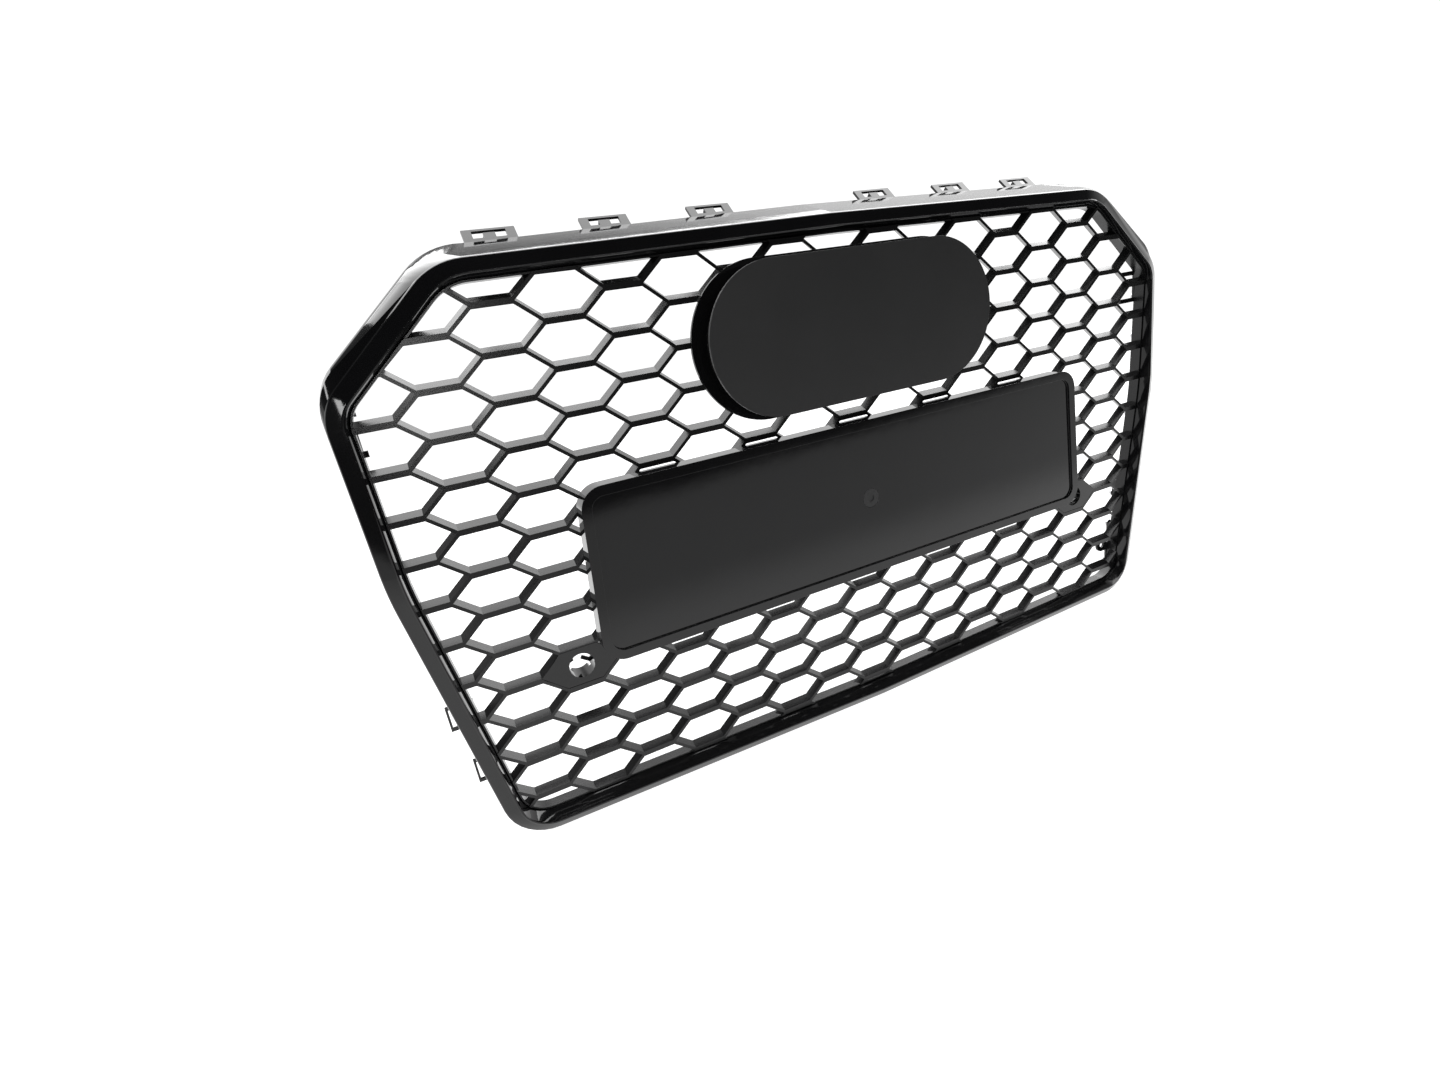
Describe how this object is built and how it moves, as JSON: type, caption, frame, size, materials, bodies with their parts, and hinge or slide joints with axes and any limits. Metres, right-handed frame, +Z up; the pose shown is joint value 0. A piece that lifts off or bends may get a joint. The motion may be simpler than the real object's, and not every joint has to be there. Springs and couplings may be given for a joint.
{
  "type": "front grille",
  "caption": "Gloss black front grille for a car: a hexagonal surround with a honeycomb mesh, an oval badge plate, a number-plate carrier and parking sensor holders.",
  "frame": {"origin": "middle of the grille's bounding box", "axes": "X across the car, Y from the front face to the back, Z up"},
  "size_m": [0.9096, 0.0982, 0.5358],
  "materials": {
    "gloss_black": "injection-moulded gloss black plastic",
    "satin_black": "satin black plastic",
    "rubber_black": "moulded rubber",
    "screw_steel": "zinc-plated steel"
  },
  "bodies": {
    "grille": {"surround": "gloss_black", "honeycomb_mesh": "gloss_black", "mesh_screws": "screw_steel", "badge_carrier": "gloss_black", "badge_carrier_screws": "screw_steel", "badge_grommets": "rubber_black", "plate_seat": "gloss_black", "plate_seat_screws": "screw_steel", "plate_grommets": "rubber_black", "sensor_holder_left": "gloss_black", "sensor_holder_right": "gloss_black", "top_bracket_1": "gloss_black", "top_bracket_2": "gloss_black", "top_bracket_3": "gloss_black", "top_bracket_4": "gloss_black", "top_bracket_5": "gloss_black", "top_bracket_6": "gloss_black", "top_bracket_screws": "screw_steel", "side_bracket_left_upper": "gloss_black", "side_bracket_left_lower": "gloss_black", "side_bracket_right_upper": "gloss_black", "side_bracket_right_lower": "gloss_black", "side_bracket_screws": "screw_steel", "corner_bracket_left": "gloss_black", "corner_bracket_right": "gloss_black", "lower_lug": "gloss_black", "rear_bracket_screws": "screw_steel"},
    "badge_plate_body": {"badge_plate": "satin_black"},
    "plate_carrier_body": {"plate_carrier": "gloss_black"},
    "plate_plug_body": {"plate_plug": "satin_black"},
    "retainer_left_body": {"sensor_retainer_left": "satin_black"},
    "retainer_right_body": {"sensor_retainer_right": "satin_black"}
  },
  "joints": [
    {"name": "badge_plate_pull", "type": "slide", "parent": "grille", "child": "badge_plate_body", "axis": [0, -1, 0], "range_m": [0, 0.04]},
    {"name": "plate_carrier_pull", "type": "slide", "parent": "grille", "child": "plate_carrier_body", "axis": [0, -1, 0], "range_m": [0, 0.06]},
    {"name": "plate_plug_pull", "type": "slide", "parent": "plate_carrier_body", "child": "plate_plug_body", "axis": [0, -1, 0], "range_m": [0, 0.03]},
    {"name": "retainer_left_pull", "type": "slide", "parent": "grille", "child": "retainer_left_body", "axis": [0, 1, 0], "range_m": [0, 0.06]},
    {"name": "retainer_right_pull", "type": "slide", "parent": "grille", "child": "retainer_right_body", "axis": [0, 1, 0], "range_m": [0, 0.06]}
  ]
}
